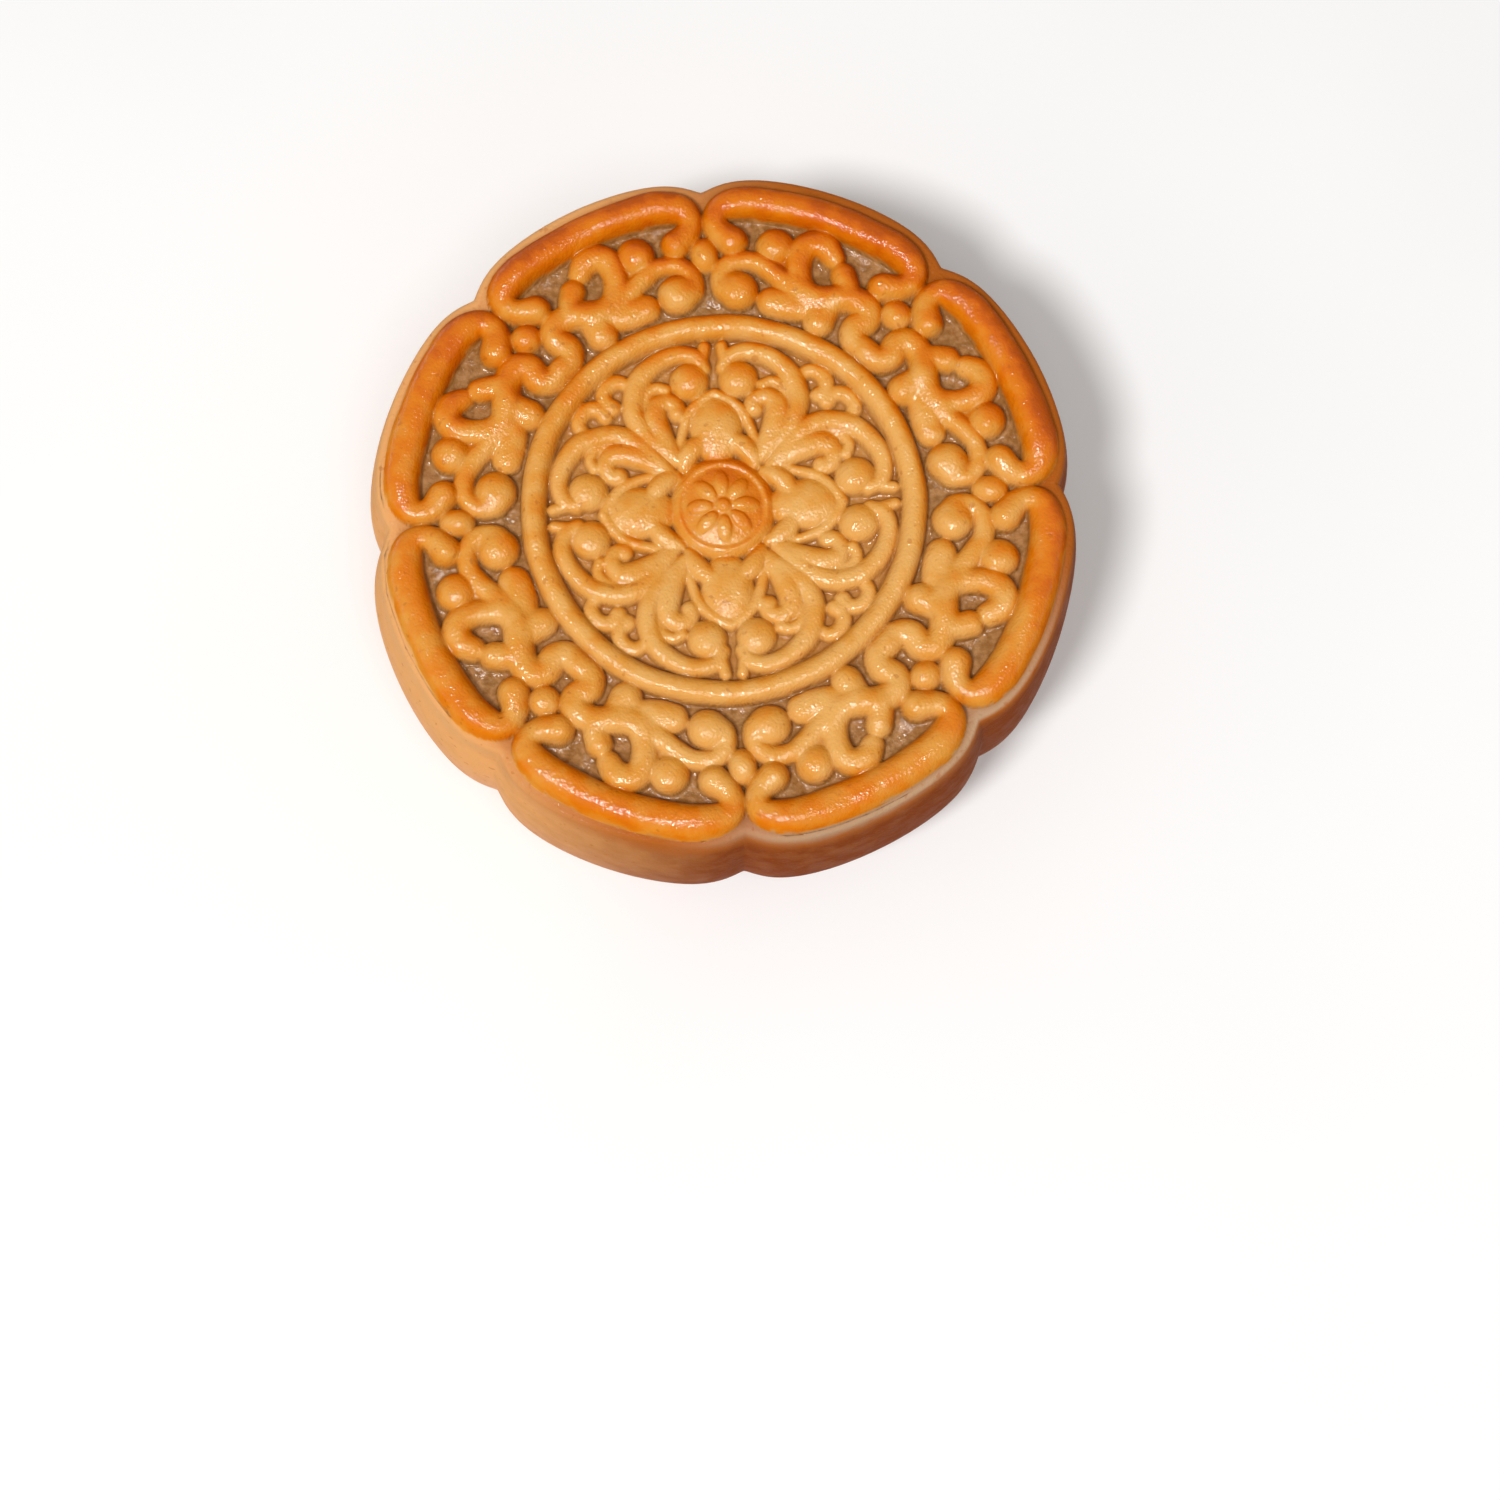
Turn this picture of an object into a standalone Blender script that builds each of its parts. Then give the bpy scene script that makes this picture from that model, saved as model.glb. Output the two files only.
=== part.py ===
"""A whole round mooncake, baked and uncut: one solid with eight lobes and moulded scrolls on top.

The moulded pattern repeats eight times. It is drawn once, as strokes in the wedge between the
+Y axis and the diagonal, and every stroke is then turned and mirrored round the middle.
Lengths are millimetres, and MM turns them into Blender's metres.
"""

import math

import bmesh
import bpy
from mathutils import Vector

MM = 0.001

# The body: a low round cake whose wall is pinched in at the eight gaps between its lobes.
LOBES = 8
WALL_RADIUS = 35.8
TOP_RADIUS = 34.3
BASE_RADIUS = 28.6
FLOOR_HEIGHT = 27.2
SHOULDER_RADIUS = 1.3
BASE_ROUNDING = 6.0
WIDEST_HEIGHT = 13.0
PINCH_DEPTH = 1.4
PINCH_HALF_ANGLE = math.radians(4.2)
PINCH_SHARPNESS = 1.2
PINCH_INNER_RADIUS = 31.0
BASE_ARC_END = -0.25
SHOULDER_ARC_START = 0.2
WALL_CURVE = 2.2
WALL_HEIGHTS = (WIDEST_HEIGHT, 19.0, 23.0)
LEDGE_HEIGHT = 27.5
STEPS_PER_LOBE = 12

# The floor of the top, sunk a little towards its middle.
SAG_DEPTH = 1.3
SAG_RADIUS = 27.0
FLOOR_RADII = (30.9, 22.0, 13.0, 0.0)

# The cake baked a little out of true: its top leans this far sideways for each unit of height.
LEAN = (0.018, -0.064)

# How far each kind of relief stands above the sunken floor of the top.
RIM_HEIGHT = 2.7
SCROLL_HEIGHT = 2.1
LEAF_HEIGHT = 1.7
MEDALLION_HEIGHT = 1.6
THIN_HEIGHT = 1.2
BALL_HEIGHT = 2.3
MEDALLION_BALL_HEIGHT = 1.8

# How far below the floor the middle of each stroke lies.
SINK = 0.15

# The raised ring that parts the medallion from the outer band.
RING_RADIUS = 18.65
RING_TUBE_RADIUS = 1.25
RING_STEPS = 56
RING_SIDES = 7

# The round boss in the middle, with a plain flower of eight petals on it.
BOSS_RADIUS = 5.0
BOSS_HEIGHT = 2.2
BOSS_DEPTH = 4.0
BOSS_BEVEL = 0.9
BOSS_SIDES = 28
PETALS = 8
PETAL_RADIUS_ALONG = 1.15
PETAL_RADIUS_ACROSS = 0.72
PETAL_RADIUS_UP = 0.55
PETAL_DISTANCE = 2.35
PETAL_HEIGHT = 2.5
PISTIL_RADIUS = 0.85
PISTIL_HEIGHT = 2.55

# The rim bar follows the wall of one lobe and turns in at both ends.
BAR_RADIUS = 31.65
BAR_TUBE_RADIUS = 1.65
BAR_END_ANGLE = math.radians(8.5)
BAR_STEPS = 6
BAR_HOOK = [(2.65, 27.5, 1.4), (1.5, 28.5, 1.25), (1.25, 29.8, 1.2), (2.4, 31.0, 1.45)]

# Strokes of the outer band, each point as x, y and the half width of the dough there.
JUNCTION = (12.2, 20.6, 1.2)
VOLUTE_EYE = (2.75, 22.5)
VOLUTE_EYE_RADIUS = 1.9
VOLUTE_START_RADIUS = 1.45
VOLUTE_GROWTH = 0.395
VOLUTE_TUBE_RADIUS = 1.15
VOLUTE_START_ANGLE = math.radians(215)
VOLUTE_END_ANGLE = math.radians(5)
VOLUTE_STEPS = 6
VOLUTE_STEM = [(8.9, 21.8, 1.3), (10.5, 20.9, 1.35)]
LOOP = [
    JUNCTION,
    (10.2, 21.7, 1.3),
    (9.1, 23.4, 1.3),
    (9.2, 25.4, 1.3),
    (10.7, 26.8, 1.35),
    (12.1, 26.2, 1.35),
    (12.4, 25.0, 1.25),
]
BULB = [(13.2, 23.0, 1.4), (13.4, 21.6, 1.45), (13.0, 20.6, 1.25)]
RING_LEAF = [(10.4, 18.3, 1.3), (10.9, 19.5, 1.25), (11.8, 20.5, 1.15)]
STEM_LEAF = [(5.7, 20.9, 1.05), (7.3, 21.1, 1.15), (9.2, 21.3, 1.25)]
LOW_LEAF = [(7.4, 19.8, 0.95), (8.8, 20.3, 1.05), (10.2, 20.7, 1.15)]
WAVE_HALF = [
    JUNCTION,
    (14.1, 20.4, 1.25),
    (15.5, 19.4, 1.45),
    (15.2, 18.1, 1.45),
    (14.1, 17.3, 1.35),
    (13.95, 16.1, 1.3),
]
WAVE_MIDDLE = (15.0, 15.0, 1.3)
BAND_BALL = (7.0, 26.5)
BAND_BALL_RADIUS = 1.8
AXIS_BEAD_DISTANCE = 26.1
AXIS_BEAD_RADII = (1.3, 1.6)
DIAGONAL_BEAD_DISTANCE = 25.95
DIAGONAL_BEAD_RADII = (1.4, 1.45)

# Strokes of the medallion.
PETAL_OUTER = [
    (1.0, 14.4, 0.9),
    (1.7, 15.6, 0.95),
    (3.3, 16.0, 0.95),
    (5.2, 15.5, 1),
    (7.0, 14.0, 1.15),
    (8.0, 11.8, 1.15),
    (7.8, 9.5, 1.05),
    (6.7, 7.6, 1.05),
    (5.3, 6.3, 0.95),
    (3.9, 4.8, 0.8),
]
PETAL_MIDDLE = [(5.1, 12.3, 0.95), (6.3, 11.7, 0.95), (6.9, 10.3, 0.8), (6.6, 8.6, 0.7)]
PETAL_INNER = [
    (3.7, 10.2, 0.95),
    (5.0, 10.6, 1.05),
    (6.0, 9.4, 1.15),
    (5.4, 7.5, 1),
    (4.3, 5.8, 0.9),
    (3.6, 4.6, 0.75),
]
SEPAL = [(1.9, 6.4, 0.95), (2.9, 5.3, 0.95), (3.7, 4.2, 0.8)]
CURL = [(8.3, 12.8, 0.7), (9.3, 13.3, 0.75), (10.3, 12.7, 0.8), (10.4, 11.7, 0.85), (9.8, 11.1, 0.9)]
NUB = [(0.75, 16.4, 0.7), (0.9, 15.4, 0.6)]
MEDALLION_EYE = (2.25, 13.3)
MEDALLION_EYE_RADIUS = 1.95
BUD = [(0.0, 7.7, 2.0), (0.0, 8.8, 2.3), (0.0, 9.9, 1.6), (0.0, 10.9, 0.7)]

# How finely the strokes are cut into facets, and how their ends are rounded off.
POINT_SPACING = 1.75
RIM_POINT_SPACING = 3.2
BEVEL_RESOLUTION = 2
DOME_LENGTH = 0.75
DOME_WIDTH = 0.5
BALL_SEGMENTS = 10
BALL_RINGS = 6
MERGE_DISTANCE = 1e-6
KEPT_SHARE = 0.66

CRUST_COLOUR = (0.62, 0.31, 0.085, 1.0)
CRUST_ROUGHNESS = 0.38
SHARP_ANGLE = math.radians(50)


def pinch(angle):
    """How far the wall is pulled in at this angle, as a share of the full depth."""
    lobe = 2 * math.pi / LOBES
    from_gap = abs((angle + lobe / 2) % lobe - lobe / 2)
    return math.exp(-((from_gap / PINCH_HALF_ANGLE) ** PINCH_SHARPNESS))


def floor_height(x, y):
    """Height of the sunken floor under the relief."""
    share = min(1.0, (x * x + y * y) / SAG_RADIUS**2)
    return FLOOR_HEIGHT - SAG_DEPTH * (1 - share) ** 2


def arc(centre, radius, start, end, steps):
    """Points on an arc of a circle, as pairs."""
    angles = [start + (end - start) * i / steps for i in range(steps + 1)]
    return [(centre[0] + radius * math.cos(a), centre[1] + radius * math.sin(a)) for a in angles]


def body_profile():
    """Half of the cake's upright section, from the middle of the base to the middle of the top."""
    quarter = math.pi / 2
    base = arc((BASE_RADIUS, BASE_ROUNDING), BASE_ROUNDING, -quarter, BASE_ARC_END, 3)
    shoulder_centre = (TOP_RADIUS - SHOULDER_RADIUS, LEDGE_HEIGHT - SHOULDER_RADIUS)
    shoulder = arc(shoulder_centre, SHOULDER_RADIUS, SHOULDER_ARC_START, quarter, 2)
    wall = []
    for height in WALL_HEIGHTS:
        share = max(0.0, height - WIDEST_HEIGHT) / (shoulder[0][1] - WIDEST_HEIGHT)
        wall.append((WALL_RADIUS + (shoulder[0][0] - WALL_RADIUS) * share**WALL_CURVE, height))
    top = [(r, floor_height(r, 0)) for r in FLOOR_RADII]
    return [(0.0, 0.0)] + base + wall + shoulder + top


def new_object(name, data, collection):
    made = bpy.data.objects.new(name, data)
    collection.objects.link(made)
    return made


def mesh_of(obj):
    """The evaluated mesh of an object, with the points that a curve's caps leave loose welded."""
    graph = bpy.context.evaluated_depsgraph_get()
    mesh = bpy.data.meshes.new_from_object(obj.evaluated_get(graph))
    shape = bmesh.new()
    shape.from_mesh(mesh)
    bmesh.ops.remove_doubles(shape, verts=shape.verts, dist=MERGE_DISTANCE)
    bmesh.ops.recalc_face_normals(shape, faces=shape.faces)
    shape.to_mesh(mesh)
    shape.free()
    return mesh


def make_body(collection):
    """Turns the profile round the axis, then pinches the wall in between the lobes."""
    points = [Vector((r, 0, z)) * MM for r, z in body_profile()]
    mesh = bpy.data.meshes.new("profile")
    mesh.from_pydata(points, [(i, i + 1) for i in range(len(points) - 1)], [])
    profile = new_object("profile", mesh, collection)
    screw = profile.modifiers.new("turn", "SCREW")
    screw.steps = screw.render_steps = LOBES * STEPS_PER_LOBE
    screw.use_merge_vertices = True
    screw.merge_threshold = MERGE_DISTANCE
    body = new_object("mooncake", mesh_of(profile), collection)
    bpy.data.objects.remove(profile)
    for vertex in body.data.vertices:
        x, y, z = vertex.co / MM
        radius = math.hypot(x, y)
        share = (radius - PINCH_INNER_RADIUS) / (TOP_RADIUS - PINCH_INNER_RADIUS)
        share = max(0.0, min(1.0, share))
        if radius > 0:
            pull = PINCH_DEPTH * share * pinch(math.atan2(y, x)) / radius
            vertex.co = Vector((x * (1 - pull), y * (1 - pull), z)) * MM
    return body


def smooth_path(points, spacing):
    """A smooth curve through the points, cut into pieces of about the spacing."""
    ends = [Vector(points[0]) * 2 - Vector(points[1])]
    knots = ends + [Vector(p) for p in points] + [Vector(points[-1]) * 2 - Vector(points[-2])]
    path = []
    for before, start, end, after in zip(knots, knots[1:], knots[2:], knots[3:]):
        pieces = max(1, round((end - start).xy.length / spacing))
        for i in range(pieces):
            t = i / pieces
            path.append(
                0.5
                * (
                    2 * start
                    + (end - before) * t
                    + (2 * before - 5 * start + 4 * end - after) * t**2
                    + (3 * start - before - 3 * end + after) * t**3
                )
            )
    return path + [knots[-2]]


def rounded_ends(path):
    """Adds a narrower point beyond each end, so that the stroke ends in a dome."""
    ends = []
    for tip, neighbour in ((path[0], path[1]), (path[-1], path[-2])):
        onward = (tip - neighbour).xy.normalized() * tip.z * DOME_LENGTH
        ends.append(Vector((tip.x + onward.x, tip.y + onward.y, tip.z * DOME_WIDTH)))
    return [ends[0]] + path + [ends[1]]


def eightfold(points):
    """The points turned to each quarter, and mirrored in it."""
    for quarter in range(4):
        angle = quarter * math.pi / 2
        cosine, sine = math.cos(angle), math.sin(angle)
        for mirror in (1, -1):
            yield [
                (cosine * mirror * x - sine * y, sine * mirror * x + cosine * y, *rest)
                for x, y, *rest in points
            ]


def make_tube(name, path, height, collection):
    """A stroke of dough, half sunk in the floor, whose thickest point stands at a height above it."""
    curve = bpy.data.curves.new(name, "CURVE")
    curve.dimensions = "3D"
    curve.bevel_depth = MM
    curve.bevel_resolution = BEVEL_RESOLUTION
    curve.use_fill_caps = True
    spline = curve.splines.new("POLY")
    spline.points.add(len(path) - 1)
    for point, (x, y, radius) in zip(spline.points, path):
        point.co = (x * MM, y * MM, 0.0, 1.0)
        point.radius = radius
    made = new_object(name, curve, collection)
    tube = new_object(name, mesh_of(made), collection)
    bpy.data.objects.remove(made)
    stretch = (height + SINK) / max(radius for _, _, radius in path)
    for vertex in tube.data.vertices:
        x, y, z = vertex.co / MM
        vertex.co.z = (floor_height(x, y) - SINK + z * stretch) * MM
    return tube


def make_strokes(name, points, height, collection):
    """One stroke of the wedge, repeated eight times."""
    for copy in eightfold(points):
        path = rounded_ends(smooth_path(copy, POINT_SPACING))
        make_tube(name, path, height, collection)


def make_ball(name, centre, radii, height, collection):
    """A ball of dough, its top at a height above the floor. The first radius lies across the spoke."""
    shape = bmesh.new()
    bmesh.ops.create_uvsphere(shape, u_segments=BALL_SEGMENTS, v_segments=BALL_RINGS, radius=MM)
    mesh = bpy.data.meshes.new(name)
    shape.to_mesh(mesh)
    shape.free()
    across, along, up = radii
    spoke = math.atan2(centre[1], centre[0])
    outwards = Vector((math.cos(spoke), math.sin(spoke)))
    for vertex in mesh.vertices:
        x, y, z = vertex.co
        flat = outwards * x * along + outwards.orthogonal() * y * across
        vertex.co = (flat.x, flat.y, z * up)
    ball = new_object(name, mesh, collection)
    top = floor_height(*centre) + height
    ball.location = Vector((centre[0], centre[1], top - up)) * MM
    return ball


def make_balls(name, centre, radius, height, collection):
    for copy in eightfold([centre]):
        make_ball(name, copy[0], (radius, radius, radius), height, collection)


def volute():
    """The big scroll: a spiral that opens from round its eye, then runs on to the junction."""
    points = []
    for i in range(VOLUTE_STEPS + 1):
        share = i / VOLUTE_STEPS
        angle = VOLUTE_START_ANGLE + (VOLUTE_END_ANGLE - VOLUTE_START_ANGLE) * share
        radius = VOLUTE_START_RADIUS * math.exp(VOLUTE_GROWTH * (math.pi - angle))
        x = VOLUTE_EYE[0] + radius * math.cos(angle)
        y = VOLUTE_EYE[1] + radius * math.sin(angle)
        points.append((x, y, VOLUTE_TUBE_RADIUS))
    return points + VOLUTE_STEM + [JUNCTION]


def clockwise(point, angle):
    """A stroke's point turned about the middle."""
    x, y, radius = point
    cosine, sine = math.cos(angle), math.sin(angle)
    return (x * cosine + y * sine, y * cosine - x * sine, radius)


def rim_bar(gap):
    """The bar of the lobe that follows a gap, with a hook at each end. gap counts from the +Y axis."""
    lobe = 2 * math.pi / LOBES
    middle = []
    for i in range(BAR_STEPS + 1):
        angle = BAR_END_ANGLE + (lobe - 2 * BAR_END_ANGLE) * i / BAR_STEPS
        middle.append((BAR_RADIUS * math.sin(angle), BAR_RADIUS * math.cos(angle), BAR_TUBE_RADIUS))
    near_half = BAR_HOOK + middle
    far_hook = [clockwise((-x, y, radius), lobe) for x, y, radius in reversed(BAR_HOOK)]
    return [clockwise(point, gap * lobe) for point in near_half + far_hook]


def make_rim(collection):
    for gap in range(LOBES):
        path = rounded_ends(smooth_path(rim_bar(gap), RIM_POINT_SPACING))
        make_tube("rim_bar", path, RIM_HEIGHT, collection)


def make_ring(collection):
    """The plain raised ring round the medallion."""
    centre_height = floor_height(RING_RADIUS, 0) + SCROLL_HEIGHT - RING_TUBE_RADIUS
    section = arc((RING_RADIUS, centre_height), RING_TUBE_RADIUS, 0, 2 * math.pi, RING_SIDES)[:-1]
    mesh = bpy.data.meshes.new("ring")
    edges = [(i, (i + 1) % RING_SIDES) for i in range(RING_SIDES)]
    mesh.from_pydata([Vector((r, 0, z)) * MM for r, z in section], edges, [])
    profile = new_object("ring_profile", mesh, collection)
    screw = profile.modifiers.new("turn", "SCREW")
    screw.steps = screw.render_steps = RING_STEPS
    screw.use_merge_vertices = True
    screw.merge_threshold = MERGE_DISTANCE
    new_object("ring", mesh_of(profile), collection)
    bpy.data.objects.remove(profile)


def make_band(collection):
    """The scrolls between the rim and the ring."""
    make_strokes("volute", volute(), SCROLL_HEIGHT, collection)
    make_strokes("loop", LOOP, SCROLL_HEIGHT, collection)
    make_strokes("bulb", BULB, SCROLL_HEIGHT, collection)
    make_strokes("ring_leaf", RING_LEAF, LEAF_HEIGHT, collection)
    make_strokes("stem_leaf", STEM_LEAF, LEAF_HEIGHT, collection)
    make_strokes("low_leaf", LOW_LEAF, THIN_HEIGHT, collection)
    make_balls("volute_eye", VOLUTE_EYE, VOLUTE_EYE_RADIUS, BALL_HEIGHT, collection)
    make_balls("band_ball", BAND_BALL, BAND_BALL_RADIUS, BALL_HEIGHT, collection)
    far_half = [(y, x, radius) for x, y, radius in reversed(WAVE_HALF)]
    wave = WAVE_HALF + [WAVE_MIDDLE] + far_half
    for copy in list(eightfold(wave))[::2]:
        path = rounded_ends(smooth_path(copy, POINT_SPACING))
        make_tube("wave", path, SCROLL_HEIGHT, collection)
    for gap in range(LOBES):
        angle = gap * 2 * math.pi / LOBES
        on_diagonal = gap % 2
        distance = DIAGONAL_BEAD_DISTANCE if on_diagonal else AXIS_BEAD_DISTANCE
        across, along = DIAGONAL_BEAD_RADII if on_diagonal else AXIS_BEAD_RADII
        centre = (distance * math.cos(angle), distance * math.sin(angle))
        make_ball("bead", centre, (across, along, across), BALL_HEIGHT, collection)


def make_medallion(collection):
    """The flower of scrolls inside the ring."""
    make_strokes("petal_outer", PETAL_OUTER, MEDALLION_HEIGHT, collection)
    make_strokes("petal_middle", PETAL_MIDDLE, THIN_HEIGHT, collection)
    make_strokes("petal_inner", PETAL_INNER, MEDALLION_HEIGHT, collection)
    make_strokes("sepal", SEPAL, MEDALLION_HEIGHT, collection)
    make_strokes("curl", CURL, THIN_HEIGHT, collection)
    make_strokes("nub", NUB, THIN_HEIGHT, collection)
    make_balls("medallion_eye", MEDALLION_EYE, MEDALLION_EYE_RADIUS, MEDALLION_BALL_HEIGHT, collection)
    for copy in list(eightfold(BUD))[::2]:
        path = rounded_ends(smooth_path(copy, POINT_SPACING))
        make_tube("bud", path, MEDALLION_HEIGHT, collection)


def make_boss(collection):
    """The round boss in the middle and its plain eight-petalled flower."""
    shape = bmesh.new()
    bmesh.ops.create_cone(
        shape,
        cap_ends=True,
        segments=BOSS_SIDES,
        radius1=BOSS_RADIUS,
        radius2=BOSS_RADIUS,
        depth=BOSS_DEPTH,
    )
    rim = [e for e in shape.edges if all(v.co.z > 0 for v in e.verts)]
    bmesh.ops.bevel(shape, geom=rim, offset=BOSS_BEVEL, segments=2, affect="EDGES", profile=0.5)
    top = floor_height(0, 0) + BOSS_HEIGHT
    for vertex in shape.verts:
        vertex.co = (vertex.co + Vector((0, 0, top - BOSS_DEPTH / 2))) * MM
    mesh = bpy.data.meshes.new("boss")
    shape.to_mesh(mesh)
    shape.free()
    new_object("boss", mesh, collection)
    petal_radii = (PETAL_RADIUS_ACROSS, PETAL_RADIUS_ALONG, PETAL_RADIUS_UP)
    for petal in range(PETALS):
        angle = petal * 2 * math.pi / PETALS
        centre = (PETAL_DISTANCE * math.cos(angle), PETAL_DISTANCE * math.sin(angle))
        make_ball("petal", centre, petal_radii, PETAL_HEIGHT, collection)
    pistil_radii = (PISTIL_RADIUS, PISTIL_RADIUS, PETAL_RADIUS_UP)
    make_ball("pistil", (0.0, 0.0), pistil_radii, PISTIL_HEIGHT, collection)


def crust_material():
    material = bpy.data.materials.new("crust")
    material.use_nodes = True
    shader = material.node_tree.nodes["Principled BSDF"]
    shader.inputs["Base Color"].default_value = CRUST_COLOUR
    shader.inputs["Roughness"].default_value = CRUST_ROUGHNESS
    shader.inputs["Metallic"].default_value = 0.0
    return material


def fuse(body, relief):
    """Joins all of the relief to the body and removes the loose pieces."""
    union = body.modifiers.new("relief", "BOOLEAN")
    union.operation = "UNION"
    union.operand_type = "COLLECTION"
    union.collection = relief
    union.solver = "MANIFOLD"
    lighter = body.modifiers.new("lighter", "DECIMATE")
    lighter.ratio = KEPT_SHARE
    fused = mesh_of(body)
    body.modifiers.clear()
    body.data = fused
    for piece in list(relief.objects):
        bpy.data.objects.remove(piece)
    bpy.data.collections.remove(relief)


def lean(body):
    """Leans the cake sideways about its widest level."""
    for vertex in body.data.vertices:
        above = vertex.co.z - WIDEST_HEIGHT * MM
        vertex.co.x += LEAN[0] * above
        vertex.co.y += LEAN[1] * above


def main():
    for obj in list(bpy.data.objects):
        bpy.data.objects.remove(obj)
    parts = bpy.data.collections.new("abalone_mooncake")
    relief = bpy.data.collections.new("relief")
    bpy.context.scene.collection.children.link(parts)
    bpy.context.scene.collection.children.link(relief)
    body = make_body(parts)
    make_rim(relief)
    make_ring(relief)
    make_band(relief)
    make_medallion(relief)
    make_boss(relief)
    fuse(body, relief)
    lean(body)
    body.data.materials.append(crust_material())
    body.data.shade_smooth()
    body.data.set_sharp_from_angle(angle=SHARP_ANGLE)


main()
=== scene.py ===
import math

import bpy
import numpy as np
from mathutils import Euler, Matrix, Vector


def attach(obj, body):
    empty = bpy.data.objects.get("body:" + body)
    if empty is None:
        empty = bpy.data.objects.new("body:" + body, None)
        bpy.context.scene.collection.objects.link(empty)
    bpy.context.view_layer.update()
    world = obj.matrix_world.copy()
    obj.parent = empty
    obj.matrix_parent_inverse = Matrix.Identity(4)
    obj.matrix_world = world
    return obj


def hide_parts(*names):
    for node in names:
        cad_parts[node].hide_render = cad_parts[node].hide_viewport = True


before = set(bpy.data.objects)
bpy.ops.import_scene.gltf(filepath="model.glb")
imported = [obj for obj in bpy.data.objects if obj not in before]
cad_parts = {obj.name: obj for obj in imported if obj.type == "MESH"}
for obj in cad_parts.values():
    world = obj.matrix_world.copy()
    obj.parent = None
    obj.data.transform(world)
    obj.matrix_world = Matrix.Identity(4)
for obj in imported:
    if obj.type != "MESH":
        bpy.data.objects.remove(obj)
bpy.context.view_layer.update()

# The visual model of the whole mooncake. Lengths are millimetres, and MM turns them into metres.
# The moulded pattern is one height map, drawn once in the wedge between the +Y axis and the
# diagonal, and read back eight times round the top.
MM = 0.001

# The body, as in the solid: a low round cake, pinched in at the eight gaps between its lobes.
LOBES = 8
LOBE_ANGLE = 2 * math.pi / LOBES
WALL_RADIUS = 35.8
TOP_RADIUS = 34.4
BASE_RADIUS = 28.6
FLOOR_HEIGHT = 27.2
LEDGE_RISE = 0.45
LEDGE_START = (30.5, 32.5)
SHOULDER_RADIUS = 0.6
SHOULDER_BEND = math.pi / 2 - 0.1
BASE_ROUNDING = 6.0
WIDEST_HEIGHT = 13.0
WALL_CURVE = 2.2
PINCH_DEPTH = 1.5
PINCH_HALF_ANGLE = math.radians(4.4)
PINCH_SHARPNESS = 1.25
PINCH_SHARE_AT_FOOT = 0.35
SAG_DEPTH = 1.3
SAG_RADIUS = 27.0
LEAN = (0.018, -0.064)

# The unevenness of dough: how high the hills are, how far they are across, and their random seed.
LATTICE = 64
SLIPS_ACROSS = ((0.16, 9.0, 1), (0.07, 3.0, 2))
SLIPS_ALONG = ((0.16, 9.0, 3), (0.07, 3.0, 4))
SWELLS = ((0.07, 6.0, 5), (0.04, 2.0, 6))
TOP_HILLS = (0.18, 22.0, 7)
OUTLINE_HILLS = (0.12, TOP_RADIUS / 3, 8)
WALL_HILLS = (0.22, 14.0, 9)

# The wall's hills lie on the wall unrolled, which starts at this place in their pattern. Between
# the heights of UNEVEN_EDGE the wall takes on the unevenness of the top's edge.
WALL_HILLS_RADIUS = 34.0
WALL_HILLS_START = 700.0
UNEVEN_EDGE = (18.0, 27.0)

# How far each kind of relief stands above the sunken floor of the top.
RIM_HEIGHT = 2.6
SCROLL_HEIGHT = 2.0
LEAF_HEIGHT = 1.7
MEDALLION_HEIGHT = 1.5
THIN_HEIGHT = 1.15
FAINT_HEIGHT = 1.05
BALL_HEIGHT = 2.15
MEDALLION_BALL_HEIGHT = 1.75

# Strokes of dough: each point is x, y and the half width there.
BAR_RADIUS = 31.62
BAR_TUBE_RADIUS = 1.72
BAR_END_ANGLE = math.radians(8.5)
BAR_STEPS = 10
BAR_HOOK = [
    (2.85, 27.3, 1.55),
    (1.65, 28.4, 1.35),
    (1.25, 29.6, 1.3),
    (1.75, 30.7, 1.4),
    (3.0, 31.2, 1.6),
]
RING_RADIUS = 18.65
RING_HALF_WIDTH = 1.32
JUNCTION = (12.2, 20.6, 1.45)
VOLUTE_EYE = (2.95, 22.2, 2.0)
VOLUTE = [
    (2.6, 21.6, 1.1),
    (1.5, 22.4, 1.1),
    (1.5, 24.1, 1.05),
    (2.8, 25.2, 1.05),
    (4.7, 25.1, 1.05),
    (6.2, 24.1, 1.1),
    (7.5, 22.9, 1.15),
    (8.9, 21.8, 1.25),
    (10.5, 20.9, 1.35),
    JUNCTION,
]
LOOP = [
    JUNCTION,
    (10.3, 20.9, 1.35),
    (9.3, 22.3, 1.25),
    (9.15, 24.3, 1.3),
    (9.75, 25.9, 1.4),
    (10.9, 26.5, 1.45),
    (12.1, 26.0, 1.4),
    (12.7, 24.9, 1.2),
]
BULB = [(13.5, 23.0, 1.35), (13.7, 21.6, 1.35), (13.3, 20.6, 1.35)]
RING_LEAF = [(10.6, 18.4, 1.6), (11.2, 19.4, 1.5), (11.9, 20.4, 1.4)]
STEM_LEAF = [(6.2, 20.85, 1.5), (7.4, 20.5, 1.6), (9.0, 20.3, 1.6), (10.6, 20.5, 1.45)]
WAVE = [
    JUNCTION,
    (14.1, 20.4, 1.45),
    (15.45, 19.5, 1.5),
    (15.4, 18.2, 1.45),
    (14.2, 17.3, 1.45),
    (14.0, 16.1, 1.4),
    (15.0, 15.0, 1.35),
]
BAND_BALL = (7.0, 26.4, 1.9)
BALL_NECK = [(7.0, 26.2, 1.1), (7.4, 24.6, 0.9)]
AXIS_BEAD = (0.0, 26.1, 1.4, 1.8)
DIAGONAL_BEAD = (18.4, 18.4, 1.6, 1.55)

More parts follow.
